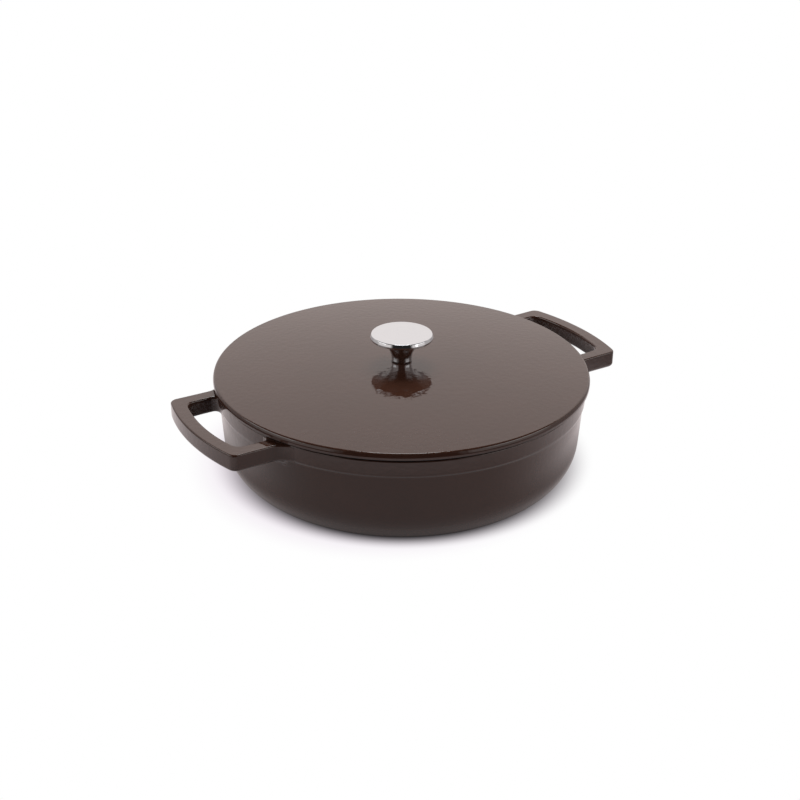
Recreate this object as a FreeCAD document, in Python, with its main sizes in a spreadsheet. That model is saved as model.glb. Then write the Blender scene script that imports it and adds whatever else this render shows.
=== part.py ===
import FreeCAD, Part
import os
import Sketcher

# Braiser: a low, wide cast-iron pot with two loop handles, a shallow domed lid and a turned steel knob.
# Millimetres. The origin is the centre of the pot's base, +Z is up and the handles lie along X.

doc = FreeCAD.newDocument("braiser")
sheet = doc.addObject("Spreadsheet::Sheet", "Size")

# Driving dimensions: name, value, meaning.
SIZES = (
    ("pot_radius", 146.2, "outer radius of the wall just below the rim band"),
    ("pot_height", 79.0, "height of the rim above the floor"),
    ("wall_taper", 4.4, "radius that the wall loses between the band and the floor"),
    ("wall", 4.0, "thickness of the pot's wall"),
    ("base_thickness", 4.5, "thickness of the pot's base"),
    ("base_round", 34.0, "outer rounding between wall and base"),
    ("band_height", 11.2, "height of the upright rim band"),
    ("band_proud", 1.2, "how far the band stands out from the wall"),
    ("step_drop", 3.2, "height of the sloping step under the band"),
    ("step_round", 6.0, "rounding of the step's two edges"),
    ("rim_round", 1.0, "rounding of the rim's two edges"),
    ("handle_width", 109.6, "handle across its two legs"),
    ("handle_thickness", 12.6, "height of the handle's section, down from the rim"),
    ("leg_width", 13.0, "width of a handle's leg"),
    ("bar_width", 10.9, "width of a handle's outer bar"),
    ("finger_gap", 27.2, "clear depth between band and bar"),
    ("handle_corner_round", 7.0, "outer corners of a handle, seen from above"),
    ("hole_corner_round", 8.0, "corners of the finger gap, seen from above"),
    ("root_round", 9.0, "flare where a leg runs into the band"),
    ("handle_top_round", 1.6, "rounding of a handle's upper edges"),
    ("handle_under_round", 2.6, "rounding of a handle's lower edges"),
    ("handle_bury", 0.5, "how far the flares sink into the band"),
    ("handle_root_share", 0.85, "share of the wall that the handles' hidden root ring fills"),
    ("lid_overhang", 2.6, "how far the lid reaches past the band"),
    ("lip_gap", 3.3, "shadow gap between rim and lid edge"),
    ("lip_thickness", 4.9, "thickness of the lid's edge"),
    ("lip_side", 1.7, "upright part of the lid's edge"),
    ("lip_lean", 1.3, "how far the lid's edge leans in above its upright part"),
    ("lip_round", 1.4, "rounding of the lid's upper edge"),
    ("lip_side_round", 4.0, "soft bend between the edge's leaning and upright parts"),
    ("lip_under_round", 0.4, "rounding of the lid's lower edge"),
    ("dome_rise", 4.8, "rise of the lid from edge to centre"),
    ("lid_wall", 3.8, "thickness of the lid at its centre"),
    ("seat_inset", 1.0, "lid seat's outer edge, inwards from the band"),
    ("ring_clearance", 0.8, "play between locating ring and rim"),
    ("ring_width", 3.2, "width of the locating ring"),
    ("ring_depth", 4.5, "how far the locating ring drops into the pot"),
    ("ring_round", 0.8, "rounding of the locating ring's lower edges"),
    ("flat_margin", 0.8, "flat spot on the lid past the piece that it seats"),
    ("knob_radius", 24.9, "radius of the knob's disc"),
    ("knob_height", 22.8, "height of the knob"),
    ("disc_edge", 3.1, "thickness of the disc at its edge"),
    ("disc_round", 1.8, "rounding of the disc's upper edge"),
    ("disc_under_round", 0.9, "rounding of the disc's lower edge"),
    ("stem_radius", 8.25, "radius of the knob's stem at its foot"),
    ("flare_drop", 4.0, "fall of the disc's underside from its edge to the stem, unrounded"),
    ("flare_round", 17.5, "wide rounding of the stem into the disc"),
    ("stem_chamfer", 0.4, "chamfer at the stem's foot"),
    ("thread_depth", 11.0, "depth of the knob's threaded bore"),
    ("thread_clearance", 0.05, "play between screw and bore"),
    ("screw_radius", 3.0, "radius of the screw's shank"),
    ("screw_length", 16.0, "length of the screw under its head"),
    ("screw_point", 0.6, "chamfer at the screw's tip"),
    ("head_radius", 6.0, "radius of the screw's head"),
    ("head_height", 4.0, "height of the screw's head"),
    ("head_round", 2.4, "rounding of the screw's head"),
    ("recess_span", 6.4, "length of the cross recess's slots"),
    ("recess_width", 1.4, "width of the cross recess's slots"),
    ("recess_depth", 2.2, "depth of the cross recess"),
    ("hole_clearance", 0.35, "play between screw and lid"),
    ("washer_clearance", 0.2, "play between screw and washers"),
    ("flat_washer_radius", 9.0, "radius of the flat washer"),
    ("flat_washer_thickness", 1.6, "thickness of the flat washer"),
    ("lock_washer_radius", 5.5, "radius of the split lock washer"),
    ("lock_washer_thickness", 1.6, "thickness of the split lock washer"),
    ("lock_washer_slit", 0.8, "width of the lock washer's slit"),
    ("seat_washer_inset", 0.25, "seat washer's edge, inwards from the stem"),
    ("seat_washer_thickness", 0.6, "thickness of the seat washer"),
    ("overrun", 1.0, "how far a cut runs past what it cuts"),
    ("match_tolerance", 0.01, "how near an edge must be to count as found"),
)

for row, (alias, size, meaning) in enumerate(SIZES, 1):
    sheet.set(f"A{row}", alias)
    sheet.set(f"B{row}", str(size))
    sheet.setAlias(f"B{row}", alias)
    sheet.set(f"C{row}", meaning)
doc.recompute()

# Sizes that follow from the driving ones, as expressions.
BAND_RADIUS = "(Size.pot_radius + Size.band_proud)"
BAND_FOOT = "(Size.pot_height - Size.band_height)"
STEP_FOOT = f"({BAND_FOOT} - Size.step_drop)"
BASE_RADIUS = "(Size.pot_radius - Size.wall_taper)"
INNER_RIM_RADIUS = f"({BASE_RADIUS} + Size.wall_taper * Size.pot_height / {STEP_FOOT} - Size.wall)"
INNER_BASE_RADIUS = f"({BASE_RADIUS} + Size.wall_taper * Size.base_thickness / {STEP_FOOT} - Size.wall)"
ROOT_RADIUS = f"({BAND_RADIUS} - Size.handle_bury)"
ROOT_INNER_RADIUS = f"({ROOT_RADIUS} - ({ROOT_RADIUS} - {INNER_RIM_RADIUS}) * Size.handle_root_share)"
BAR_INNER_RADIUS = f"({BAND_RADIUS} + Size.finger_gap)"
BAR_RADIUS = f"({BAR_INNER_RADIUS} + Size.bar_width)"
HALF_HANDLE = "(Size.handle_width / 2)"
HALF_HOLE = f"({HALF_HANDLE} - Size.leg_width)"
LID_RADIUS = f"({BAND_RADIUS} + Size.lid_overhang)"
LID_EDGE = "(Size.lip_gap + Size.lip_thickness)"
LID_EDGE_RADIUS = f"({LID_RADIUS} - Size.lip_lean)"
LID_SIDE = "(Size.lip_gap + Size.lip_side)"
LID_CROWN = f"({LID_EDGE} + Size.dome_rise)"
LID_UNDER = f"({LID_CROWN} - Size.lid_wall)"
SEAT_RADIUS = f"({BAND_RADIUS} - Size.seat_inset)"
RING_RADIUS = f"({INNER_RIM_RADIUS} - Size.ring_clearance)"
RING_INNER_RADIUS = f"({RING_RADIUS} - Size.ring_width)"
RING_CEILING = f"({LID_UNDER} - Size.dome_rise * {RING_INNER_RADIUS} ^ 2 / {LID_RADIUS} ^ 2)"
LID_HOLE_RADIUS = "(Size.screw_radius + Size.hole_clearance)"
WASHER_HOLE_RADIUS = "(Size.screw_radius + Size.washer_clearance)"
THREAD_RADIUS = "(Size.screw_radius + Size.thread_clearance)"
LID_TOP = f"(Size.pot_height + {LID_CROWN})"
FLAT_WASHER_FOOT = f"(Size.pot_height + {LID_UNDER} - Size.flat_washer_thickness)"
LOCK_WASHER_FOOT = f"({FLAT_WASHER_FOOT} - Size.lock_washer_thickness)"


def value(expression):
    """The number that an expression of sizes gives now."""
    return float(sheet.evalExpression(expression))


def point(x, y):
    """A sketch point from two expressions."""
    return FreeCAD.Vector(value(x), value(y), 0)


def new_body(label, height="0"):
    """A body that stands at a height above the floor."""
    body = doc.addObject("PartDesign::Body", label)
    body.Label = label
    body.setExpression("Placement.Base.z", height)
    return body


def new_sketch(body, name, role, height="0"):
    """A sketch on one of the body's own origin planes, raised by a height."""
    sketch = body.newObject("Sketcher::SketchObject", name)
    plane = [feature for feature in body.Origin.OriginFeatures if feature.Role == role][0]
    sketch.AttachmentSupport = (plane, [""])
    sketch.MapMode = "FlatFace"
    sketch.setExpression("AttachmentOffset.Base.z", height)
    return sketch


def dimension(sketch, kind, expression, *place):
    """Add a dimension and tie it to an expression of sizes."""
    index = sketch.addConstraint(Sketcher.Constraint(kind, *place, value(expression)))
    sketch.setExpression(f"Constraints[{index}]", expression)


def join_ends(sketch, ends):
    """Close a loop: each segment's second end meets the next one's first. Ends are (segment, first, second)."""
    following = ends[1:] + ends[:1]
    for (segment, _, second), (other, first, _) in zip(ends, following):
        sketch.addConstraint(Sketcher.Constraint("Coincident", segment, second, other, first))


def dome_arc(start, end):
    """Arc between two points with its centre on the sketch's upright axis, bulging upwards."""
    rise = end.y - start.y
    centre_y = (end.x ** 2 - start.x ** 2 + end.y ** 2 - start.y ** 2) / (2 * rise)
    centre = FreeCAD.Vector(0, centre_y, 0)
    first, second = sorted((start, end), key=lambda corner: -corner.x)
    circle = Part.Circle(centre, FreeCAD.Vector(0, 0, 1), (start - centre).Length)
    return Part.ArcOfCircle(circle, circle.parameter(first), circle.parameter(second))


def draw_profile(sketch, corners, domes=()):
    """Closed outline through corners, pairs of expressions. Segments listed in domes are arcs about the axis."""
    places = [point(x, y) for x, y in corners]
    ends = []
    for index, start in enumerate(places):
        end = places[(index + 1) % len(places)]
        if index in domes:
            segment = sketch.addGeometry(dome_arc(start, end))
            sketch.addConstraint(Sketcher.Constraint("PointOnObject", segment, 3, -2))
            ends.append((segment, 1, 2) if start.x > end.x else (segment, 2, 1))
        else:
            segment = sketch.addGeometry(Part.LineSegment(start, end))
            ends.append((segment, 1, 2))
    join_ends(sketch, ends)
    for (x, y), (segment, first, _) in zip(corners, ends):
        dimension(sketch, "DistanceX", x, -1, 1, segment, first)
        dimension(sketch, "DistanceY", y, -1, 1, segment, first)


def draw_arc_loop(sketch, stops):
    """Closed loop through stops (radius, side, y): arcs about the origin join equal radii, lines join the rest."""
    places = []
    for radius, side, y in stops:
        places.append(FreeCAD.Vector(side * value(f"sqrt({radius} ^ 2 - ({y}) ^ 2)"), value(y), 0))
    ends = []
    for index, start in enumerate(places):
        following = (index + 1) % len(stops)
        end = places[following]
        radius = stops[index][0]
        if stops[following][0] != radius:
            ends.append((sketch.addGeometry(Part.LineSegment(start, end)), 1, 2))
            continue
        forward = start.cross(end).z > 0
        first, second = (start, end) if forward else (end, start)
        circle = Part.Circle(FreeCAD.Vector(), FreeCAD.Vector(0, 0, 1), value(radius))
        arc = Part.ArcOfCircle(circle, circle.parameter(first), circle.parameter(second))
        segment = sketch.addGeometry(arc)
        sketch.addConstraint(Sketcher.Constraint("Coincident", segment, 3, -1, 1))
        dimension(sketch, "Radius", radius, segment)
        ends.append((segment, 1, 2) if forward else (segment, 2, 1))
    join_ends(sketch, ends)
    for (_, _, y), (segment, first, _) in zip(stops, ends):
        dimension(sketch, "DistanceY", y, -1, 1, segment, first)


def draw_circle(sketch, radius):
    """Circle about the sketch's origin."""
    circle = Part.Circle(FreeCAD.Vector(), FreeCAD.Vector(0, 0, 1), value(radius))
    segment = sketch.addGeometry(circle)
    sketch.addConstraint(Sketcher.Constraint("Coincident", segment, 3, -1, 1))
    dimension(sketch, "Radius", radius, segment)


def revolve(body, name, corners, domes=()):
    """Full turn of a profile drawn in the XZ plane about the upright axis."""
    sketch = new_sketch(body, f"{name}_profile", "XZ_Plane")
    draw_profile(sketch, corners, domes)
    turned = body.newObject("PartDesign::Revolution", name)
    turned.Profile = sketch
    turned.ReferenceAxis = (sketch, ["V_Axis"])
    turned.Angle = 360
    doc.recompute()


def near(first, second):
    """Whether two numbers agree well enough to name the same edge."""
    return abs(first - second) < value("Size.match_tolerance")


def round_edges(body, name, kind, radius, chosen):
    """Fillet or chamfer the edges of the body's last feature that a test picks."""
    base = body.Tip
    edges = base.Shape.Edges
    names = [f"Edge{number}" for number, edge in enumerate(edges, 1) if chosen(edge)]
    if not names:
        raise RuntimeError(f"{name} found no edge")
    feature = body.newObject(f"PartDesign::{kind}", name)
    feature.Base = (base, names)
    feature.setExpression("Radius" if kind == "Fillet" else "Size", radius)
    doc.recompute()


def circle_at(radius, height):
    """Test for the full circle about the axis at a radius and height."""
    def chosen(edge):
        box = edge.BoundBox
        flat = near(box.ZMin, value(height)) and near(box.ZMax, value(height))
        return flat and near(box.XMax, value(radius)) and near(box.YMax, value(radius))
    return chosen


def upright_at(places):
    """Test for upright edges at places, pairs of a radius and a distance to either side of the X axis."""
    spots = [(value(f"sqrt({radius} ^ 2 - {y} ^ 2)"), value(y)) for radius, y in places]
    def chosen(edge):
        box = edge.BoundBox
        upright = near(box.XMin, box.XMax) and near(box.YMin, box.YMax)
        return upright and any(near(abs(box.XMin), x) and near(abs(box.YMin), y) for x, y in spots)
    return chosen


def level_outside(radius, height):
    """Test for edges at a height that lie outside a radius."""
    def chosen(edge):
        box = edge.BoundBox
        flat = near(box.ZMin, value(height)) and near(box.ZMax, value(height))
        middle = edge.valueAt((edge.FirstParameter + edge.LastParameter) / 2)
        return flat and (middle.x ** 2 + middle.y ** 2) ** 0.5 > value(radius)
    return chosen


def build_pot():
    """Pot casting: a turned wall with a rim band, joined to the plate that carries both loop handles."""
    shell = new_body("pot_wall")
    revolve(shell, "wall", (
        ("0", "0"),
        (BASE_RADIUS, "0"),
        ("Size.pot_radius", STEP_FOOT),
        (BAND_RADIUS, BAND_FOOT),
        (BAND_RADIUS, "Size.pot_height"),
        (INNER_RIM_RADIUS, "Size.pot_height"),
        (INNER_BASE_RADIUS, "Size.base_thickness"),
        ("0", "Size.base_thickness"),
    ))
    inner_round = "Size.base_round - Size.wall"
    round_edges(shell, "base_rounding", "Fillet", "Size.base_round", circle_at(BASE_RADIUS, "0"))
    round_edges(shell, "inner_rounding", "Fillet", inner_round, circle_at(INNER_BASE_RADIUS, "Size.base_thickness"))
    round_edges(shell, "step_foot_rounding", "Fillet", "Size.step_round", circle_at("Size.pot_radius", STEP_FOOT))
    round_edges(shell, "band_foot_rounding", "Fillet", "Size.step_round", circle_at(BAND_RADIUS, BAND_FOOT))
    round_edges(shell, "rim_rounding", "Fillet", "Size.rim_round", circle_at(BAND_RADIUS, "Size.pot_height"))
    round_edges(shell, "mouth_rounding", "Fillet", "Size.rim_round", circle_at(INNER_RIM_RADIUS, "Size.pot_height"))

    under = "(Size.pot_height - Size.handle_thickness)"
    plate = new_body("handle_plate")
    sketch = new_sketch(plate, "handle_outline", "XY_Plane", under)
    low = f"-{HALF_HANDLE}"
    draw_arc_loop(sketch, (
        (ROOT_RADIUS, 1, low),
        (BAR_RADIUS, 1, low),
        (BAR_RADIUS, 1, HALF_HANDLE),
        (ROOT_RADIUS, 1, HALF_HANDLE),
        (ROOT_RADIUS, -1, HALF_HANDLE),
        (BAR_RADIUS, -1, HALF_HANDLE),
        (BAR_RADIUS, -1, low),
        (ROOT_RADIUS, -1, low),
    ))
    for side in (1, -1):
        draw_arc_loop(sketch, (
            (ROOT_RADIUS, side, f"-{HALF_HOLE}"),
            (BAR_INNER_RADIUS, side, f"-{HALF_HOLE}"),
            (BAR_INNER_RADIUS, side, HALF_HOLE),
            (ROOT_RADIUS, side, HALF_HOLE),
        ))
    draw_circle(sketch, ROOT_INNER_RADIUS)
    pad = plate.newObject("PartDesign::Pad", "handles")
    pad.Profile = sketch
    pad.setExpression("Length", "Size.handle_thickness")
    doc.recompute()
    outer_corners = upright_at([(BAR_RADIUS, HALF_HANDLE)])
    outer_roots = upright_at([(ROOT_RADIUS, HALF_HANDLE)])
    hole_corners = upright_at([(BAR_INNER_RADIUS, HALF_HOLE), (ROOT_RADIUS, HALF_HOLE)])
    round_edges(plate, "corner_rounding", "Fillet", "Size.handle_corner_round", outer_corners)
    round_edges(plate, "root_flare", "Fillet", "Size.root_round", outer_roots)
    round_edges(plate, "hole_rounding", "Fillet", "Size.hole_corner_round", hole_corners)
    edge_limit = f"({ROOT_INNER_RADIUS} + Size.match_tolerance)"
    upper_edges = level_outside(edge_limit, "Size.pot_height")
    lower_edges = level_outside(edge_limit, under)
    round_edges(plate, "upper_rounding", "Fillet", "Size.handle_top_round", upper_edges)
    round_edges(plate, "under_rounding", "Fillet", "Size.handle_under_round", lower_edges)

    pot = doc.addObject("Part::Fuse", "pot")
    pot.Label = "pot"
    pot.Base = shell
    pot.Tool = plate
    pot.Refine = True
    return pot


def build_lid():
    """Lid casting: shallow dome with a round edge, a seat on the rim, a locating ring and a screw hole."""
    lid = new_body("lid", "Size.pot_height")
    knob_flat = "(Size.stem_radius + Size.flat_margin)"
    washer_flat = "(Size.flat_washer_radius + Size.flat_margin)"
    ring_foot = "-Size.ring_depth"
    revolve(lid, "dome", (
        (LID_HOLE_RADIUS, LID_CROWN),
        (knob_flat, LID_CROWN),
        (LID_EDGE_RADIUS, LID_EDGE),
        (LID_RADIUS, LID_SIDE),
        (LID_RADIUS, "Size.lip_gap"),
        (SEAT_RADIUS, "Size.lip_gap"),
        (SEAT_RADIUS, "0"),
        (RING_RADIUS, "0"),
        (RING_RADIUS, ring_foot),
        (RING_INNER_RADIUS, ring_foot),
        (RING_INNER_RADIUS, RING_CEILING),
        (washer_flat, LID_UNDER),
        (LID_HOLE_RADIUS, LID_UNDER),
    ), domes=(1, 10))
    round_edges(lid, "edge_rounding", "Fillet", "Size.lip_round", circle_at(LID_EDGE_RADIUS, LID_EDGE))
    round_edges(lid, "side_rounding", "Fillet", "Size.lip_side_round", circle_at(LID_RADIUS, LID_SIDE))
    round_edges(lid, "lip_rounding", "Fillet", "Size.lip_under_round", circle_at(LID_RADIUS, "Size.lip_gap"))
    round_edges(lid, "ring_rounding", "Fillet", "Size.ring_round", circle_at(RING_RADIUS, ring_foot))
    round_edges(lid, "ring_inner_rounding", "Fillet", "Size.ring_round", circle_at(RING_INNER_RADIUS, ring_foot))
    return lid


def build_knob():
    """Knob: a flat disc on a flared stem, turned in one piece, with a blind threaded bore."""
    knob = new_body("knob", f"{LID_TOP} + Size.seat_washer_thickness")
    disc_foot = "(Size.knob_height - Size.disc_edge)"
    flare_height = f"({disc_foot} - Size.flare_drop)"
    revolve(knob, "turned_blank", (
        (THREAD_RADIUS, "0"),
        ("Size.stem_radius", "0"),
        ("Size.stem_radius", flare_height),
        ("Size.knob_radius", disc_foot),
        ("Size.knob_radius", "Size.knob_height"),
        ("0", "Size.knob_height"),
        ("0", "Size.thread_depth"),
        (THREAD_RADIUS, "Size.thread_depth"),
    ))
    flare_reach = "(Size.knob_radius - Size.stem_radius)"
    flare_length = f"sqrt({flare_reach} ^ 2 + Size.flare_drop ^ 2)"
    stem_room = f"{flare_height} - 2 * Size.stem_chamfer"
    flare_room = f"min({stem_room}; {flare_length} - 2 * Size.disc_under_round)"
    flare_round = f"min(Size.flare_round; {flare_room} * {flare_reach} / ({flare_length} - Size.flare_drop))"
    flare_edge = circle_at("Size.stem_radius", flare_height)
    top_edge = circle_at("Size.knob_radius", "Size.knob_height")
    round_edges(knob, "flare", "Fillet", flare_round, flare_edge)
    round_edges(knob, "disc_rounding", "Fillet", "Size.disc_round", top_edge)
    round_edges(knob, "disc_under", "Fillet", "Size.disc_under_round", circle_at("Size.knob_radius", disc_foot))
    round_edges(knob, "stem_foot", "Chamfer", "Size.stem_chamfer", circle_at("Size.stem_radius", "0"))
    return knob


def build_ring(label, radius, hole_radius, thickness, height):
    """Flat ring that lies at a height."""
    ring = new_body(label, height)
    sketch = new_sketch(ring, f"{label}_outline", "XY_Plane")
    draw_circle(sketch, radius)
    draw_circle(sketch, hole_radius)
    pad = ring.newObject("PartDesign::Pad", f"{label}_blank")
    pad.Profile = sketch
    pad.setExpression("Length", thickness)
    doc.recompute()
    return ring


def cut_pocket(body, name, sketch, depth, upwards):
    """Pocket that has to take material away."""
    before = body.Shape.Volume
    pocket = body.newObject("PartDesign::Pocket", name)
    pocket.Profile = sketch
    pocket.Reversed = upwards
    pocket.setExpression("Length", depth)
    doc.recompute()
    if body.Shape.Volume >= before:
        raise RuntimeError(f"{name} cuts nothing")


def build_seat_washer():
    """Thin washer between the knob's stem and the enamel."""
    radius = "(Size.stem_radius - Size.seat_washer_inset)"
    return build_ring("seat_washer", radius, LID_HOLE_RADIUS, "Size.seat_washer_thickness", LID_TOP)


def build_flat_washer():
    """Wide washer that spreads the screw's load under the lid."""
    thickness = "Size.flat_washer_thickness"
    return build_ring("flat_washer", "Size.flat_washer_radius", WASHER_HOLE_RADIUS, thickness, FLAT_WASHER_FOOT)


def build_lock_washer():
    """Split washer under the screw's head, pressed flat, with one slit."""
    thickness = "Size.lock_washer_thickness"
    ring = build_ring("lock_washer", "Size.lock_washer_radius", WASHER_HOLE_RADIUS, thickness, LOCK_WASHER_FOOT)
    sketch = new_sketch(ring, "slit_outline", "XY_Plane")
    half = "Size.lock_washer_slit / 2"
    outer = "Size.lock_washer_radius + Size.overrun"
    draw_profile(sketch, (("0", f"-{half}"), (outer, f"-{half}"), (outer, half), ("0", half)))
    cut_pocket(ring, "slit", sketch, thickness, True)
    return ring


def build_screw():
    """Pan-head screw, head down, with a cross recess; it stands on its head's seat."""
    screw = new_body("knob_screw", LOCK_WASHER_FOOT)
    head_foot = "-Size.head_height"
    revolve(screw, "screw_blank", (
        ("0", head_foot),
        ("Size.head_radius", head_foot),
        ("Size.head_radius", "0"),
        ("Size.screw_radius", "0"),
        ("Size.screw_radius", "Size.screw_length"),
        ("0", "Size.screw_length"),
    ))
    tip_edge = circle_at("Size.screw_radius", "Size.screw_length")
    round_edges(screw, "head_rounding", "Fillet", "Size.head_round", circle_at("Size.head_radius", head_foot))
    round_edges(screw, "tip_chamfer", "Chamfer", "Size.screw_point", tip_edge)
    span = "Size.recess_span / 2"
    width = "Size.recess_width / 2"
    for name, x, y in (("recess_slot", span, width), ("recess_cross_slot", width, span)):
        sketch = new_sketch(screw, f"{name}_outline", "XY_Plane", head_foot)
        draw_profile(sketch, ((f"-{x}", f"-{y}"), (x, f"-{y}"), (x, y), (f"-{x}", y)))
        cut_pocket(screw, name, sketch, "Size.recess_depth", True)
    return screw


pieces = [
    build_pot(),
    build_lid(),
    build_knob(),
    build_seat_washer(),
    build_flat_washer(),
    build_lock_washer(),
    build_screw(),
]
doc.recompute()

for item in doc.Objects:
    if "Invalid" in item.State or "Error" in item.State:
        raise RuntimeError(f"{item.Label} failed: {item.State}")
for piece in pieces:
    if piece.Shape.isNull() or not piece.Shape.isValid():
        raise RuntimeError(f"{piece.Label} has no valid shape")

os.makedirs("parts", exist_ok=True)
for piece in pieces:
    piece.Shape.exportStep(f"parts/{piece.Label}.step")
    box = piece.Shape.BoundBox
    print(f"{piece.Label}: {len(piece.Shape.Solids)} solid, {piece.Shape.Volume:.0f} mm3, "
          f"z {box.ZMin:.2f} to {box.ZMax:.2f}, x {box.XMin:.2f} to {box.XMax:.2f}")
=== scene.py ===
# %% [markdown]
# # An enamelled braiser, dressed in Blender
# A braiser is a low, wide iron pot with a lid, for browning and slow cooking. Its CAD model already has the right
# solid shapes, so this lesson is about what the eye sees: glass-like enamel over a casting with soft corners, a
# polished steel knob, and the light of a small product studio. Everything is in the CAD model's own frame: the origin
# is the centre of the pot's base, +Z is up, and the two handles lie along X.

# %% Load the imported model
import math
import bmesh
import bpy
from mathutils import Matrix, Vector


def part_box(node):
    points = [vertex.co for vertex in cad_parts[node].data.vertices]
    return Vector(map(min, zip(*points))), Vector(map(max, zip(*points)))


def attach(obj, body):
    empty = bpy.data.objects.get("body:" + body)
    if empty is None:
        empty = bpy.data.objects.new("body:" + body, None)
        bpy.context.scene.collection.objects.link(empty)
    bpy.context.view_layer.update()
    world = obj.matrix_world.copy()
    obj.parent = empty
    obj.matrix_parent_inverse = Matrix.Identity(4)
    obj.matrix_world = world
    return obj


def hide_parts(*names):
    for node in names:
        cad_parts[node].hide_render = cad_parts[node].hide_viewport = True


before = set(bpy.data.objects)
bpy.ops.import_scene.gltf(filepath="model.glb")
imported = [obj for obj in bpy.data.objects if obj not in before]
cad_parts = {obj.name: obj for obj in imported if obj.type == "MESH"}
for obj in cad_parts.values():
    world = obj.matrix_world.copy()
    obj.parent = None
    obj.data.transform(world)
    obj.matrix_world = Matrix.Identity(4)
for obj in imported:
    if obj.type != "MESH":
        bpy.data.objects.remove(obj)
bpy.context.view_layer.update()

scene = bpy.context.scene
print("nodes:", sorted(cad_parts))

# %% [markdown]
# ## Main sizes
# Blender works in metres, but a maker thinks of a pot in millimetres, so the part's sizes are in millimetres and one
# factor turns them to metres. The main sizes are read from the boxes of the CAD pieces. Small ones, such as the radius
# of an edge, can't be read from a box and are named where they are used. The studio around the part is in metres.

# %% Sizes from the frame
MM = 0.001
CUBIC_CM = (10 * MM) ** 3


def corners_of(node):
    """A CAD piece's lowest and highest corners, in millimetres."""
    return [[round(part / MM, 1) for part in corner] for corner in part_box(node)]


(_, _, _), (BAR_OUTER, _, RIM_TOP) = corners_of("pot")
(_, _, RING_FOOT), (LID_RADIUS, _, LID_CROWN) = corners_of("lid")
(_, _, KNOB_FOOT), (KNOB_RADIUS, _, KNOB_TOP) = corners_of("knob")
print("rim at", RIM_TOP, "mm, handles reach", BAR_OUTER, "mm, lid", 2 * LID_RADIUS, "mm across")

# %% [markdown]
# ## Two small tools
# Colours are picked on a screen, in sRGB, but a shader counts light, which is linear. One function does that step, so
# that every colour below can be written as the hex code that a colour picker shows. The other function adds one node
# to a tree, sets it up and links it. Node trees are long lists of such steps, so this keeps each step short. A few
# settings come up again and again, so they get names.

# %% Colour and node tools
def tint(code):
    """The linear colour for an sRGB hex code."""
    parts = [int(code[place:place + 2], 16) / 255 for place in (1, 3, 5)]
    return [part / 12.92 if part <= 0.04045 else ((part + 0.055) / 1.055) ** 2.4 for part in parts] + [1.0]


def add_node(tree, kind, settings=None, feeds=None):
    """Add a node. Settings are its own properties; feeds give each input a value or another node's output."""
    node = tree.nodes.new(kind)
    for name, setting in (settings or {}).items():
        setattr(node, name, setting)
    for socket, feed in (feeds or {}).items():
        if isinstance(feed, bpy.types.NodeSocket):
            tree.links.new(feed, node.inputs[socket])
        else:
            node.inputs[socket].default_value = feed
    return node


SOFT = {"interpolation_type": "SMOOTHSTEP"}
COLOUR = {"data_type": "RGBA"}  # a Mix node of colours has its inputs at 0, 6 and 7 and its output at 2
TIMES = {"operation": "MULTIPLY"}
ON_PLAN = (1, 1, 0)  # times this, a place or direction loses its height
print("middle grey on a screen is", round(tint("#808080")[0], 3), "to a shader")

# %% [markdown]
# ## The camera
# The photograph was taken from the front left, about 26 degrees above the table. A camera was fitted to the outlines
# of the lid, the rim and the handles, and that fit gives its place and its three directions. They are written here as
# a matrix, because rounding them to angles would move the picture by a pixel or two.

# %% Camera at the photograph's angle
PHOTO_WIDTH = 800  # pixels
FOCAL_PIXELS = 1368.354
SENSOR_WIDTH = 36.0  # mm
camera_right = Vector((0.84280362, -0.5381894, 0.0058511))
camera_up = Vector((0.2293944, 0.3690231, 0.9006665))
camera_forward = Vector((0.48688836, 0.75774278, -0.43447164))
camera_place = Vector((-0.54186, -0.84126, 0.53933))
camera = bpy.data.objects.new("camera", bpy.data.cameras.new("camera"))
scene.collection.objects.link(camera)
camera_matrix = Matrix((camera_right, camera_up, -camera_forward)).transposed().to_4x4()
camera_matrix.translation = camera_place
camera.matrix_world = camera_matrix
camera.data.sensor_width = SENSOR_WIDTH
camera.data.lens = FOCAL_PIXELS / PHOTO_WIDTH * SENSOR_WIDTH
scene.camera = camera
scene.view_settings.view_transform = "Standard"
print("camera lens:", round(camera.data.lens, 2), "mm")

# %% [markdown]
# ## The studio
# Glossy enamel is a dark mirror, so most of what we see on it is the room. In the photograph the lid mirrors a bright
# wall behind the pot, the front of the lid's edge mirrors the dark side of the room, where the camera stands, and a
# thin bright line along that edge is a lamp overhead. So the room has a white wall behind, dimmer pale walls at both
# sides, a dark front and a dark ceiling. All are drawn by direction alone: how far a direction points to the camera,
# from -1, straight behind the pot, to 1, straight to the camera, and how high.

# %% Directions in the room
toward_camera = (-camera_forward).xy.to_3d().normalized()
to_the_right = camera_right.xy.to_3d().normalized()
world = bpy.data.worlds.new("studio")
scene.world = world
world.use_nodes = True
room = world.node_tree
room.nodes.clear()
look = add_node(room, "ShaderNodeTexCoord").outputs["Generated"]
height = add_node(room, "ShaderNodeSeparateXYZ", None, {0: look}).outputs["Z"]
flat = add_node(room, "ShaderNodeVectorMath", TIMES, {0: look, 1: ON_PLAN})
flat = add_node(room, "ShaderNodeVectorMath", {"operation": "NORMALIZE"}, {0: flat.outputs[0]})
facing = add_node(room, "ShaderNodeVectorMath", {"operation": "DOT_PRODUCT"},
                  {0: flat.outputs[0], 1: toward_camera}).outputs["Value"]
print("the camera stands towards", [round(part, 2) for part in toward_camera])

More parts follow.
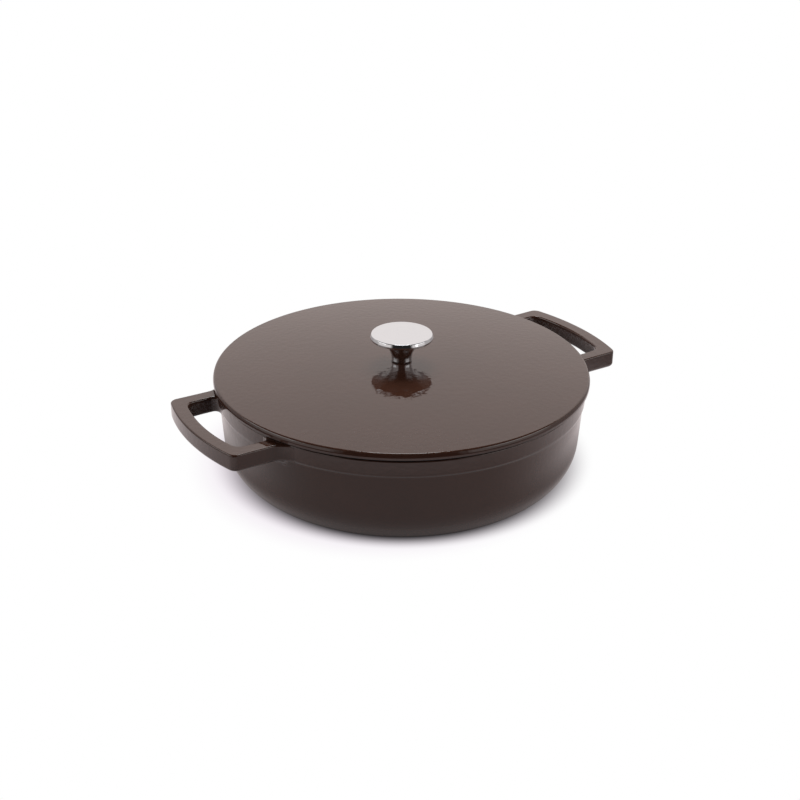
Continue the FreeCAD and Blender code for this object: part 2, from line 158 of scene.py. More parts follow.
# %% The room's walls
PALE_WALL, DARK_WALL = tint("#fff7f4"), tint("#2c2a2a")
FRONT_EDGE, FRONT_FULL = math.cos(math.radians(44)), math.cos(math.radians(30))
CEILING_EDGE, CEILING_FULL = math.sin(math.radians(39)), math.sin(math.radians(42))
BACK_FULL, BACK_EDGE, BACK_LEVEL, SIDE_LEVEL = -0.8, -0.6, 1.0, 0.5
FORE_EDGE, FORE_FULL, FORE_MORE = -0.1, 0.1, 0.3
front = add_node(room, "ShaderNodeMapRange", SOFT,
                 {"Value": facing, "From Min": FRONT_EDGE, "From Max": FRONT_FULL})
ceiling = add_node(room, "ShaderNodeMapRange", SOFT,
                   {"Value": height, "From Min": CEILING_EDGE, "From Max": CEILING_FULL})
dark = add_node(room, "ShaderNodeMath", {"operation": "MAXIMUM"}, {0: front.outputs[0], 1: ceiling.outputs[0]})
walls = add_node(room, "ShaderNodeMix", COLOUR, {0: dark.outputs[0], 6: PALE_WALL, 7: DARK_WALL})
behind = add_node(room, "ShaderNodeMapRange", SOFT,
                  {"Value": facing, "From Min": BACK_FULL, "From Max": BACK_EDGE,
                   "To Min": BACK_LEVEL, "To Max": SIDE_LEVEL})
fore = add_node(room, "ShaderNodeMapRange", SOFT,
                {"Value": facing, "From Min": FORE_EDGE, "From Max": FORE_FULL,
                 "To Min": 0.0, "To Max": FORE_MORE})
level = add_node(room, "ShaderNodeMath", {"operation": "ADD"}, {0: behind.outputs[0], 1: fore.outputs[0]})
glow = add_node(room, "ShaderNodeBackground", None, {"Color": walls.outputs[2], "Strength": level.outputs[0]})
add_node(room, "ShaderNodeOutputWorld", None, {"Surface": glow.outputs[0]})
print("room: white behind, pale at the sides, dark in front and above")

# %% [markdown]
# Four soft lamps do the rest. A small one high behind the pot draws the bright line on the lid's edge. A wide fill
# brings the diffuse light up to a plain level and isn't mirrored. A soft box at each side gives the polished knob its
# two bright flanks. Their places and sizes are in metres.

# %% Lamps
AIM = Vector((0, 0, 0.06))


def around(degrees, distance, height):
    """A place seen from the pot: degrees to the right of the camera, at a distance and a height in metres."""
    turn = math.radians(degrees)
    flat = toward_camera * math.cos(turn) + to_the_right * math.sin(turn)
    return flat * distance + Vector((0, 0, height))


def hang_lamp(name, place, width, height, watts, mirrored=True):
    """A soft rectangular lamp that looks at the middle of the pot."""
    lamp = bpy.data.lights.new(name, "AREA")
    lamp.shape = "RECTANGLE"
    lamp.size, lamp.size_y = width, height
    lamp.energy = watts
    holder = bpy.data.objects.new(name, lamp)
    scene.collection.objects.link(holder)
    holder.visible_glossy = mirrored
    turned = (AIM - place).to_track_quat("-Z", "Y").to_matrix().to_4x4()
    holder.matrix_world = Matrix.Translation(place) @ turned
    print(name, [round(part, 2) for part in place], "at", watts, "W")


hang_lamp("back_strip", around(180, 0.85, 1.55), width=0.38, height=0.6, watts=3.8)
hang_lamp("fill_lamp", around(180, 1.05, 1.3), width=1.2, height=0.9, watts=16.0, mirrored=False)
hang_lamp("left_box", around(-82, 1.3, 0.75), width=1.0, height=0.5, watts=2.4)
hang_lamp("right_box", around(72, 1.3, 0.75), width=1.05, height=0.5, watts=2.5)

# %% [markdown]
# ## The floor
# The floor is a sheet of pale paper. Close to the pot it is diffuse paper, which keeps the real shadow, and there its
# colour is also darkened in a ring round the pot's foot, a painted shadow. Further out it turns to an even white for
# the camera, so that the picture has a clean background without more light on the pot. The painted shadow is narrow in
# front and wider towards the back, and a faint painted shadow, tinted lilac, lies outside it on the left.

# %% Paper floor
FLOOR_HALF = 12.0  # metres
floor_mesh = bpy.data.meshes.new("paper_floor")
floor_mesh.from_pydata([(-FLOOR_HALF, -FLOOR_HALF, 0), (FLOOR_HALF, -FLOOR_HALF, 0),
                        (FLOOR_HALF, FLOOR_HALF, 0), (-FLOOR_HALF, FLOOR_HALF, 0)], [], [(0, 1, 2, 3)])
floor = bpy.data.objects.new("paper_floor", floor_mesh)
scene.collection.objects.link(floor)
paper = bpy.data.materials.new("pale_paper")
paper.use_nodes = True
tree = paper.node_tree
tree.nodes.clear()
spot = add_node(tree, "ShaderNodeTexCoord").outputs["Object"]
out = add_node(tree, "ShaderNodeVectorMath", {"operation": "LENGTH"}, {0: spot}).outputs["Value"]
facing = add_node(tree, "ShaderNodeVectorMath", {"operation": "DOT_PRODUCT"}, {0: spot, 1: toward_camera})
facing = add_node(tree, "ShaderNodeMath", {"operation": "DIVIDE"},
                  {0: facing.outputs["Value"], 1: out}).outputs[0]
print("floor:", 2 * FLOOR_HALF, "m wide")

# %% The painted shadow's reach on the paper
SHADOW_FOOT, SHADOW_WIDTH, SHADOW_LAP = 118 * MM, 20 * MM, 1 * MM
BACK_WIDENING = 3.3
# The paper's colour is painted darker near the pot: a painted shadow on top of the real one.
PAINTED_SHADOW_PAPER, PLAIN_PAPER = tint("#6c666a"), tint("#a39da3")
widening = add_node(tree, "ShaderNodeMapRange", None,
                    {"Value": facing, "From Min": -1.0, "From Max": 1.0,
                     "To Min": BACK_WIDENING * SHADOW_WIDTH, "To Max": SHADOW_WIDTH})
past = add_node(tree, "ShaderNodeMath", {"operation": "SUBTRACT"}, {0: out, 1: SHADOW_FOOT}).outputs[0]
# Where the painted shadow ends: 0 at the pot's foot, 1 past its reach.
outside_painted_shadow = add_node(tree, "ShaderNodeMapRange", SOFT,
               {"Value": past, "From Min": -SHADOW_LAP, "From Max": widening.outputs[0]}).outputs[0]
sheet_colour = add_node(tree, "ShaderNodeMix", COLOUR, {0: outside_painted_shadow, 6: PAINTED_SHADOW_PAPER, 7: PLAIN_PAPER})
sheet = add_node(tree, "ShaderNodeBsdfDiffuse", None, {"Color": sheet_colour.outputs[2]})
print("shadow: from", SHADOW_FOOT, "m, at least", SHADOW_WIDTH, "m wide")

# %% The white around the shadow, and a faint painted shadow on the left
SHADOW_TAIL_NEAR, SHADOW_TAIL_FAR = 125 * MM, 170 * MM
# A lilac tint in the white near the pot's left is a painted shadow, a faint tail of the shadow that clears further out.
SHADOW_TAIL_TINT, WHITE = tint("#f0e8f0"), tint("#ffffff")
shadow_tail_middle = around(-135, 17 * MM, 0)
shadow_tail_way = add_node(tree, "ShaderNodeVectorMath", {"operation": "SUBTRACT"}, {0: spot, 1: shadow_tail_middle})
shadow_tail_out = add_node(tree, "ShaderNodeVectorMath", {"operation": "LENGTH"}, {0: shadow_tail_way.outputs[0]})
clear = add_node(tree, "ShaderNodeMapRange", SOFT,
                 {"Value": shadow_tail_out.outputs["Value"], "From Min": SHADOW_TAIL_NEAR, "From Max": SHADOW_TAIL_FAR})
shadow_tail_colour = add_node(tree, "ShaderNodeMix", COLOUR, {0: clear.outputs[0], 6: SHADOW_TAIL_TINT, 7: WHITE})
white = add_node(tree, "ShaderNodeEmission", None, {"Color": shadow_tail_colour.outputs[2], "Strength": 1.0})
print("haze: clears between", SHADOW_TAIL_NEAR, "and", SHADOW_TAIL_FAR, "m")

# %% [markdown]
# The enamel mirrors the paper too, but not the paper's own shading: for mirrored rays the paper glows with a painted
# pattern of light and shade, a painted reflection. Beside the pot it turns from a painted shadow's grey to white, and
# further out it dims again, around a middle a little to the left of the pot. In front it is dimmer, and it ends below
# the camera. Nowhere is it brighter than white.

# %% Painted reflection of the paper beside the pot
SIDE_NEAR, SIDE_FAR, SIDE_DIM = 0.16, 0.2, 0.45
FADE_NEAR, FADE_FAR, FADE_DIM = 0.32, 0.42, 0.4
fade_middle = around(-90, 60 * MM, 0)
paling = add_node(tree, "ShaderNodeMapRange", SOFT,
                  {"Value": out, "From Min": SIDE_NEAR, "From Max": SIDE_FAR, "To Min": SIDE_DIM, "To Max": 1.0})
fade_out = add_node(tree, "ShaderNodeVectorMath", {"operation": "DISTANCE"}, {0: spot, 1: fade_middle})
fading = add_node(tree, "ShaderNodeMapRange", SOFT,
                  {"Value": fade_out.outputs["Value"], "From Min": FADE_NEAR, "From Max": FADE_FAR,
                   "To Min": 1.0, "To Max": FADE_DIM})
beside = add_node(tree, "ShaderNodeMath", TIMES, {0: paling.outputs[0], 1: fading.outputs[0]})
print("mirrored paper: white from", SIDE_FAR, "m at the sides")

# %% Painted reflection of the paper ahead of the pot
AHEAD_NEAR, AHEAD_FAR, AHEAD_DIM, AHEAD_PALE = 0.24, 0.33, 0.42, 0.68
END_NEAR, END_FAR, END_DIM = 0.35, 0.42, 0.04
AHEAD_EDGE, AHEAD_FULL = 0.0, 0.85
FOOT_REACH = 26 * MM
PAINTED_REFLECTION_TINT = tint("#fff3f3")
rising = add_node(tree, "ShaderNodeMapRange", SOFT,
                  {"Value": out, "From Min": AHEAD_NEAR, "From Max": AHEAD_FAR,
                   "To Min": AHEAD_DIM, "To Max": AHEAD_PALE})
ending = add_node(tree, "ShaderNodeMapRange", SOFT,
                  {"Value": out, "From Min": END_NEAR, "From Max": END_FAR, "To Min": 1.0, "To Max": END_DIM})
ahead = add_node(tree, "ShaderNodeMath", TIMES, {0: rising.outputs[0], 1: ending.outputs[0]})
front = add_node(tree, "ShaderNodeMapRange", SOFT,
                 {"Value": facing, "From Min": AHEAD_EDGE, "From Max": AHEAD_FULL})
level = add_node(tree, "ShaderNodeMix", None, {0: front.outputs[0], 2: beside.outputs[0], 3: ahead.outputs[0]})
# Painted shadow in the reflection: the glow is dark at the pot's foot and grows over FOOT_REACH.
painted_foot_shadow = add_node(tree, "ShaderNodeMapRange", SOFT, {"Value": past, "From Min": 0.0, "From Max": FOOT_REACH})
level = add_node(tree, "ShaderNodeMath", TIMES, {0: painted_foot_shadow.outputs[0], 1: level.outputs[0]})
# The paper glows for mirrored rays, though it is no lamp: a painted reflection.
mirrored = add_node(tree, "ShaderNodeEmission", None, {"Color": PAINTED_REFLECTION_TINT, "Strength": level.outputs[0]})
print("mirrored paper: ends between", END_NEAR, "and", END_FAR, "m in front")

# %% The paper as the camera and the enamel see it
rays = add_node(tree, "ShaderNodeLightPath").outputs
seen = add_node(tree, "ShaderNodeMath", TIMES, {0: rays["Is Camera Ray"], 1: outside_painted_shadow})
bounced = add_node(tree, "ShaderNodeMath", {"operation": "MAXIMUM"},
                   {0: rays["Is Glossy Ray"], 1: rays["Is Transmission Ray"]})
direct = add_node(tree, "ShaderNodeMixShader", None,
                  {0: seen.outputs[0], 1: sheet.outputs[0], 2: white.outputs[0]})
mixed = add_node(tree, "ShaderNodeMixShader", None,
                 {0: bounced.outputs[0], 1: direct.outputs[0], 2: mirrored.outputs[0]})
add_node(tree, "ShaderNodeOutputMaterial", None, {"Surface": mixed.outputs[0]})
floor.data.materials.append(paper)
print("paper:", len(tree.nodes), "nodes")

# %% [markdown]
# ## Vitreous enamel
# Enamel is glass, sprayed on the casting as a wet powder and fired until it flows. That gives a deep gloss, with
# hardly any blur, and a slight waviness that painters call orange peel, about 4 mm from crest to crest. The colour is a
# dark warm brown that varies a little with the thickness of the glass. Inside the handles' loops, below their top, the
# spray arrives thin and dry, so those faces are a little rough and speckled with grey.

# %% A material to start from, and how it ends
def start_material(name):
    """A material with one Principled shader: the material, its tree, the shader and the piece's own coordinates."""
    material = bpy.data.materials.new(name)
    material.use_nodes = True
    tree = material.node_tree
    tree.nodes.clear()
    shader = add_node(tree, "ShaderNodeBsdfPrincipled")
    add_node(tree, "ShaderNodeOutputMaterial", None, {"Surface": shader.outputs[0]})
    spot = add_node(tree, "ShaderNodeTexCoord").outputs["Object"]
    return material, tree, shader, spot


def connect(tree, shader, shade, gloss, bump=None):
    """Give a shader its colour, its roughness and, where there is one, its bump."""
    tree.links.new(shade.outputs[2], shader.inputs["Base Color"])
    tree.links.new(gloss.outputs[0], shader.inputs["Roughness"])
    if bump:
        tree.links.new(bump.outputs[0], shader.inputs["Normal"])


ENAMEL_IOR = 1.6  # a dense glass
PEEL, PEEL_DEPTH = 4.0, 0.115
print("orange peel:", PEEL, "mm from crest to crest")

# %% Brown enamel: where the spray is thin
LOOP_NEAR, LOOP_FAR, LOOP_SIDE, LOOP_TOP = 151.0, 177.0, 45.0, RIM_TOP - 1.6
LOOP_BLUR = 2
brown_enamel, tree, shader, spot = start_material("brown_enamel")
across = add_node(tree, "ShaderNodeSeparateXYZ", None, {0: spot})
side = add_node(tree, "ShaderNodeMath", {"operation": "ABSOLUTE"}, {0: across.outputs["Y"]})
flat = add_node(tree, "ShaderNodeVectorMath", TIMES, {0: spot, 1: ON_PLAN})
out = add_node(tree, "ShaderNodeVectorMath", {"operation": "LENGTH"}, {0: flat.outputs[0]}).outputs["Value"]
past = add_node(tree, "ShaderNodeMapRange", SOFT,
                {"Value": out, "From Min": (LOOP_NEAR - LOOP_BLUR) * MM, "From Max": LOOP_NEAR * MM})
within = add_node(tree, "ShaderNodeMapRange", SOFT,
                  {"Value": out, "From Min": (LOOP_FAR + LOOP_BLUR) * MM, "From Max": (LOOP_FAR - LOOP_BLUR) * MM})
between = add_node(tree, "ShaderNodeMapRange", SOFT,
                   {"Value": side.outputs[0], "From Min": (LOOP_SIDE + LOOP_BLUR) * MM, "From Max": LOOP_SIDE * MM})
under = add_node(tree, "ShaderNodeMapRange", SOFT,
                 {"Value": across.outputs["Z"], "From Min": LOOP_TOP * MM, "From Max": (LOOP_TOP - LOOP_BLUR) * MM})
ring = add_node(tree, "ShaderNodeMath", TIMES, {0: past.outputs[0], 1: within.outputs[0]})
gap = add_node(tree, "ShaderNodeMath", TIMES, {0: ring.outputs[0], 1: between.outputs[0]})
loop = add_node(tree, "ShaderNodeMath", TIMES, {0: gap.outputs[0], 1: under.outputs[0]}).outputs[0]
print("thin spray between", LOOP_NEAR, "and", LOOP_FAR, "mm from the axis")

# %% Brown enamel: colour, gloss and peel
GRAIN, SPECK_EDGE, SPECK_FULL, SPECK_ROUGH = 1.1, 0.47, 0.62, 0.3
CLOUD = 30
THIN_BROWN, THICK_BROWN, DRY_GREY = tint("#432b21"), tint("#4b3026"), tint("#7a7674")
WET_ROUGH, DRY_ROUGH = 0.05, 0.28
grains = add_node(tree, "ShaderNodeTexNoise", None, {"Vector": spot, "Scale": 1 / (GRAIN * MM), "Detail": 2.0})
specks = add_node(tree, "ShaderNodeMapRange", SOFT,
                  {"Value": grains.outputs[0], "From Min": SPECK_EDGE, "From Max": SPECK_FULL})
dry = add_node(tree, "ShaderNodeMath", TIMES, {0: specks.outputs[0], 1: loop}).outputs[0]
cloud = add_node(tree, "ShaderNodeTexNoise", None, {"Vector": spot, "Scale": 1 / (CLOUD * MM), "Detail": 3.0})
shade = add_node(tree, "ShaderNodeMix", COLOUR, {0: cloud.outputs[0], 6: THIN_BROWN, 7: THICK_BROWN})
shade = add_node(tree, "ShaderNodeMix", COLOUR, {0: dry, 6: shade.outputs[2], 7: DRY_GREY})
gloss = add_node(tree, "ShaderNodeMapRange", None, {"Value": loop, "To Min": WET_ROUGH, "To Max": DRY_ROUGH})
gloss = add_node(tree, "ShaderNodeMath", {"operation": "MULTIPLY_ADD"},
                 {0: dry, 1: SPECK_ROUGH, 2: gloss.outputs[0]})
peel = add_node(tree, "ShaderNodeTexNoise", None, {"Vector": spot, "Scale": 1 / (PEEL * MM), "Detail": 1.0})
dimples = add_node(tree, "ShaderNodeBump", None,
                   {"Strength": 1.0, "Distance": PEEL_DEPTH * MM, "Height": peel.outputs[0]})
connect(tree, shader, shade, gloss, dimples)
shader.inputs["IOR"].default_value = ENAMEL_IOR
print("made", brown_enamel.name)

# %% [markdown]
# The inside, most of the rim's top and the lid's underside have the black satin enamel that such pots are given for
# browning. It is the same glass, but filled with fine grit, so its gloss is broken up and it shows a faint grain.

# %% Black enamel
GRIT, GRIT_DEPTH = 0.8, 0.03
BLACK, WORN_BLACK = tint("#121111"), tint("#1f1d1d")
SATIN_LOW, SATIN_HIGH = 0.32, 0.46
black_enamel, tree, shader, spot = start_material("black_enamel")
grit = add_node(tree, "ShaderNodeTexNoise", None, {"Vector": spot, "Scale": 1 / (GRIT * MM), "Detail": 2.0})
shade = add_node(tree, "ShaderNodeMix", COLOUR, {0: grit.outputs[0], 6: BLACK, 7: WORN_BLACK})
gloss = add_node(tree, "ShaderNodeMapRange", None,
                 {"Value": grit.outputs[0], "To Min": SATIN_LOW, "To Max": SATIN_HIGH})
dimples = add_node(tree, "ShaderNodeBump", None,
                   {"Strength": 1.0, "Distance": GRIT_DEPTH * MM, "Height": grit.outputs[0]})
connect(tree, shader, shade, gloss, dimples)
shader.inputs["IOR"].default_value = ENAMEL_IOR
print("made", black_enamel.name)

# %% [markdown]
# ## Polished steel
# The knob was turned on a lathe and then polished with a wheel. It mirrors the room sharply, and what is left of the
# turning is a set of very fine rings about its axis. Real rings are about 0.1 mm apart; here they are drawn at 0.6 mm,
# and only as a slight change of shade and gloss, so that they show without breaking the mirror.

# %% Polished steel
RING_PITCH = 0.6
STEEL, BRIGHT_STEEL = tint("#dadcdf"), tint("#e1e3e6")
POLISH_LOW, POLISH_HIGH = 0.03, 0.07
polished_steel, tree, shader, spot = start_material("polished_stainless_steel")
flat = add_node(tree, "ShaderNodeVectorMath", TIMES, {0: spot, 1: ON_PLAN})
out = add_node(tree, "ShaderNodeVectorMath", {"operation": "LENGTH"}, {0: flat.outputs[0]})
rise = add_node(tree, "ShaderNodeSeparateXYZ", None, {0: spot})
profile = add_node(tree, "ShaderNodeCombineXYZ", None, {"X": out.outputs["Value"], "Z": rise.outputs["Z"]})
rings = add_node(tree, "ShaderNodeTexNoise", None,
                 {"Vector": profile.outputs[0], "Scale": 1 / (RING_PITCH * MM), "Detail": 1.0})
shade = add_node(tree, "ShaderNodeMix", COLOUR, {0: rings.outputs[0], 6: STEEL, 7: BRIGHT_STEEL})
gloss = add_node(tree, "ShaderNodeMapRange", None,
                 {"Value": rings.outputs[0], "To Min": POLISH_LOW, "To Max": POLISH_HIGH})
connect(tree, shader, shade, gloss)
shader.inputs["Metallic"].default_value = 1.0
print("made", polished_steel.name)

# %% [markdown]
# ## Fixings
# Under the lid are a plain zinc-bright screw and two washers, stamped and tumbled, so their gloss is dull and cloudy.
# The thin washer under the knob is moulded rubber: matt, dark and slightly mottled.

# %% Plain steel
TUMBLE = 0.7
ZINC, BRIGHT_ZINC = tint("#acacac"), tint("#c4c3c1")
TUMBLE_LOW, TUMBLE_HIGH = 0.22, 0.42
plain_steel, tree, shader, spot = start_material("tumbled_zinc_steel")
tumbled = add_node(tree, "ShaderNodeTexNoise", None, {"Vector": spot, "Scale": 1 / (TUMBLE * MM), "Detail": 3.0})
shade = add_node(tree, "ShaderNodeMix", COLOUR, {0: tumbled.outputs[0], 6: ZINC, 7: BRIGHT_ZINC})
gloss = add_node(tree, "ShaderNodeMapRange", None,
                 {"Value": tumbled.outputs[0], "To Min": TUMBLE_LOW, "To Max": TUMBLE_HIGH})
connect(tree, shader, shade, gloss)
shader.inputs["Metallic"].default_value = 1.0
print("made", plain_steel.name)

# %% Rubber
MOTTLE = 0.5
RUBBER, PALE_RUBBER = tint("#0c0c0c"), tint("#171717")
MATT_LOW, MATT_HIGH = 0.5, 0.75
black_rubber, tree, shader, spot = start_material("moulded_black_rubber")
mottle = add_node(tree, "ShaderNodeTexNoise", None, {"Vector": spot, "Scale": 1 / (MOTTLE * MM), "Detail": 2.0})
shade = add_node(tree, "ShaderNodeMix", COLOUR, {0: mottle.outputs[0], 6: RUBBER, 7: PALE_RUBBER})
gloss = add_node(tree, "ShaderNodeMapRange", None,
                 {"Value": mottle.outputs[0], "To Min": MATT_LOW, "To Max": MATT_HIGH})
connect(tree, shader, shade, gloss)
print("made", black_rubber.name)

# %% [markdown]
# ## A lathe from Geometry Nodes
# The pot's wall, the lid and the knob are all turned forms: one outline, carried once round the upright axis. A Screw
# modifier could do this, but a node tree can also give the outside and the inside their own finish. It makes a flat
# grid with one row of points for each point of the outline and one column for each step of the turn, looks up where
# each point belongs, and welds the seam and the poles.

# %% The lathe tree
def build_lathe():
    """The tree, and the identifiers of its inputs by name."""
    tree = bpy.data.node_groups.new("lathe", "GeometryNodeTree")
    tree.is_modifier = True
    sockets = tree.interface
    sockets.new_socket("Outline", in_out="INPUT", socket_type="NodeSocketGeometry")
    for name, kind in (("Steps around", "NodeSocketInt"), ("First inner row", "NodeSocketFloat"),
                       ("Weld distance", "NodeSocketFloat"), ("Outer finish", "NodeSocketMaterial"),
                       ("Inner finish", "NodeSocketMaterial")):
        sockets.new_socket(name, in_out="INPUT", socket_type=kind)
    sockets.new_socket("Form", in_out="OUTPUT", socket_type="NodeSocketGeometry")
    given = add_node(tree, "NodeGroupInput").outputs
    rows = add_node(tree, "GeometryNodeAttributeDomainSize", {"component": "MESH"},
                    {0: given["Outline"]}).outputs["Point Count"]
    columns = add_node(tree, "ShaderNodeMath", {"operation": "ADD"}, {0: given["Steps around"], 1: 1.0})
    grid = add_node(tree, "GeometryNodeMeshGrid", None, {"Vertices X": columns.outputs[0], "Vertices Y": rows})
    number = add_node(tree, "GeometryNodeInputIndex").outputs[0]
    row = add_node(tree, "ShaderNodeMath", {"operation": "MODULO"}, {0: number, 1: rows})
    turns = add_node(tree, "ShaderNodeMath", {"operation": "DIVIDE"}, {0: number, 1: rows})
    column = add_node(tree, "ShaderNodeMath", {"operation": "FLOOR"}, {0: turns.outputs[0]})
    share = add_node(tree, "ShaderNodeMath", {"operation": "DIVIDE"},
                     {0: column.outputs[0], 1: given["Steps around"]})
    angle = add_node(tree, "ShaderNodeMath", TIMES, {0: share.outputs[0], 1: 2 * math.pi})
    place = add_node(tree, "GeometryNodeInputPosition")
    drawn = add_node(tree, "GeometryNodeSampleIndex", {"data_type": "FLOAT_VECTOR"},
                     {"Geometry": given["Outline"], "Value": place.outputs[0], "Index": row.outputs[0]})
    swung = add_node(tree, "ShaderNodeVectorRotate", {"rotation_type": "Z_AXIS"},
                     {"Vector": drawn.outputs[0], "Angle": angle.outputs[0]})
    kept = add_node(tree, "GeometryNodeCaptureAttribute", {"domain": "FACE"}, {"Geometry": grid.outputs["Mesh"]})
    kept.capture_items.new("FLOAT", "row")
    corner_rows = add_node(tree, "GeometryNodeFieldOnDomain", {"domain": "POINT"}, {0: row.outputs[0]})
    tree.links.new(corner_rows.outputs[0], kept.inputs["row"])
    placed = add_node(tree, "GeometryNodeSetPosition", None,
                      {"Geometry": kept.outputs["Geometry"], "Position": swung.outputs[0]})
    welded = add_node(tree, "GeometryNodeMergeByDistance", None,
                      {"Geometry": placed.outputs[0], "Distance": given["Weld distance"]})
    smooth = add_node(tree, "GeometryNodeSetShadeSmooth", None, {"Geometry": welded.outputs[0]})
    inner = add_node(tree, "ShaderNodeMath", {"operation": "GREATER_THAN"},
                     {0: kept.outputs["row"], 1: given["First inner row"]})
    outside = add_node(tree, "GeometryNodeSetMaterial", None,
                       {"Geometry": smooth.outputs[0], "Material": given["Outer finish"]})
    inside = add_node(tree, "GeometryNodeSetMaterial", None,
                      {"Geometry": outside.outputs[0], "Selection": inner.outputs[0],
                       "Material": given["Inner finish"]})
    add_node(tree, "NodeGroupOutput", None, {"Form": inside.outputs[0]})
    return tree, {item.name: item.identifier for item in sockets.items_tree if item.in_out == "INPUT"}


lathe, lathe_inputs = build_lathe()
print("lathe inputs:", list(lathe_inputs))

# %% [markdown]
# An outline is drawn as a draughtsman would: corners first, then each corner rounded. A corner is its distance from
# the axis, its height and the radius of its rounding. A guard point close beside each rounding keeps the flat next to
# it flat, because smooth shading would otherwise bend the light across the whole face.

# %% Outlines
GUARD = 0.2
GUARD_PART = 3  # on a short flat, a guard point takes at most one part in three
STRAIGHT = math.radians(89.9)  # half of a corner that hardly turns


def rounded(corners, steps=8):
    """Points of an outline with its corners rounded, from corners (radius, height, rounding)."""
    spots = [Vector(corner[:2]) for corner in corners]
    points = [spots[0]]
    for before, here, after, (_, _, radius) in zip(spots, spots[1:], spots[2:], corners[1:-1]):
        back, ahead = (before - here).normalized(), (after - here).normalized()
        half = math.acos(max(-1.0, min(1.0, back.dot(ahead)))) / 2
        if radius == 0 or half > STRAIGHT:
            points.append(here)
            continue
        middle = here + (back + ahead).normalized() * radius / math.sin(half)
        start, end = here + back * radius / math.tan(half), here + ahead * radius / math.tan(half)
        sweep = (start - middle).angle_signed(end - middle)
        points.append(start + back * min(GUARD, (before - start).length / GUARD_PART))
        for step in range(steps + 1):
            points.append(middle + Matrix.Rotation(-sweep * step / steps, 2) @ (start - middle))
        points.append(end + ahead * min(GUARD, (after - end).length / GUARD_PART))
    return points + [spots[-1]]


def dome(first, last, count):
    """Corners along a shallow dome between two points (radius, height), with its centre on the axis."""
    (r0, z0), (r1, z1) = first, last
    centre = (r1 ** 2 - r0 ** 2 + z1 ** 2 - z0 ** 2) / (2 * (z1 - z0))
    ball = math.hypot(r0, z0 - centre)
    radii = [r0 + (r1 - r0) * step / count for step in range(count + 1)]
    return [(radius, centre + math.sqrt(ball ** 2 - radius ** 2), 0) for radius in radii]


print("a rounded corner has", len(rounded([(0, 0, 0), (9, 0, 2), (9, 9, 0)])), "points")

# %% Turning an outline
WELD = 0.001


def turn(name, outline, steps, outer, inner=None, inner_row=None):
    """Carry an outline round the axis: a plain mesh object, its faces pointing outwards."""
    mesh = bpy.data.meshes.new(name)
    mesh.from_pydata([(spot.x * MM, 0, spot.y * MM) for spot in outline],
                     [(row, row + 1) for row in range(len(outline) - 1)], [])
    form = bpy.data.objects.new(name, mesh)
    scene.collection.objects.link(form)
    modifier = form.modifiers.new("lathe", "NODES")
    modifier.node_group = lathe
    values = {"Steps around": steps, "First inner row": float(inner_row or len(outline)),
              "Weld distance": WELD * MM, "Outer finish": outer, "Inner finish": inner or outer}
    for label, value in values.items():
        modifier[lathe_inputs[label]] = value
    graph = bpy.context.evaluated_depsgraph_get()
    form.data = bpy.data.meshes.new_from_object(form.evaluated_get(graph), depsgraph=graph)
    form.modifiers.remove(modifier)
    form.data.name = name
    form.data.materials.pop(index=0)  # the outline's own empty slot
    solid = bmesh.new()
    solid.from_mesh(form.data)
    bmesh.ops.recalc_face_normals(solid, faces=solid.faces)
    solid.to_mesh(form.data)
    volume = solid.calc_volume(signed=True) / CUBIC_CM
    loose = sum(not edge.is_manifold for edge in solid.edges)
    solid.free()
    print(name, len(form.data.polygons), "faces,", round(volume, 1), "cubic cm,", loose, "open edges, finishes",
          [material.name for material in form.data.materials])
    return form


# %% [markdown]
# ## The lid
# The lid is a shallow dome. Its edge leans in above a short upright part, and a crisp rounding joins the two to the
# top. It sits on the rim with a narrow seat, and a ring below it drops into the pot, so that it can't slide off. The
# inside corners are soft, because enamel pools there. The finish changes to black under the edge, as on the underside
# of such lids, and it starts at the edge's foot rather than at the seat, so that it also darkens the gap above the rim:
# painted shade. Around the screw's hole the top is flat for the knob and the underside is flat for the washer.

# %% Sizes of the lid
LIP_FOOT, LIP_SIDE, LIP_TOP = RIM_TOP + 2.3, RIM_TOP + 4.6, RIM_TOP + 7.25
LIP_RADIUS, LIP_LEAN = LID_RADIUS + 0.4, 1.0
LIP_TOP_ROUND, LIP_SIDE_ROUND, LIP_FOOT_ROUND = 1.9, 4.0, 0.3
SEAT, SEAT_CORNER, SEAT_ROUND = 146.4, 1.2, 0.4
RING_OUTER, RING_INNER = 142.3, 139.1
RING_ROOT, RING_ROUND, RING_CORNER = 1.0, 0.8, 3.0
LID_UNDER = LID_CROWN - 3.8
LID_HOLE, HOLE_MIDDLE, HOLE_ROUND, HOLE_FOOT_ROUND = 3.35, LID_CROWN - 2, 0.5, 0.4
KNOB_FLAT, WASHER_FLAT = 9.05, 9.8
TOP_ROWS, UNDER_ROWS, LID_STEPS = 24, 20, 288
lip_edge = LIP_RADIUS - LIP_LEAN
ring_ceiling = LID_UNDER - (LID_CROWN - LIP_TOP) * (RING_INNER / LID_RADIUS) ** 2
print("lid: lip from", LIP_FOOT, "to", LIP_TOP, "mm, ring down to", RING_FOOT, "mm")

# %% Lid
lid_top = dome((KNOB_FLAT, LID_CROWN), (lip_edge, LIP_TOP), TOP_ROWS)[:-1]
lid_under = dome((RING_INNER, ring_ceiling), (WASHER_FLAT, LID_UNDER), UNDER_ROWS)[1:]
brown_corners = [(LID_HOLE, HOLE_MIDDLE, 0), (LID_HOLE, LID_CROWN, HOLE_ROUND), *lid_top,
                 (lip_edge, LIP_TOP, LIP_TOP_ROUND), (LIP_RADIUS, LIP_SIDE, LIP_SIDE_ROUND),
                 (LIP_RADIUS, LIP_FOOT, LIP_FOOT_ROUND)]
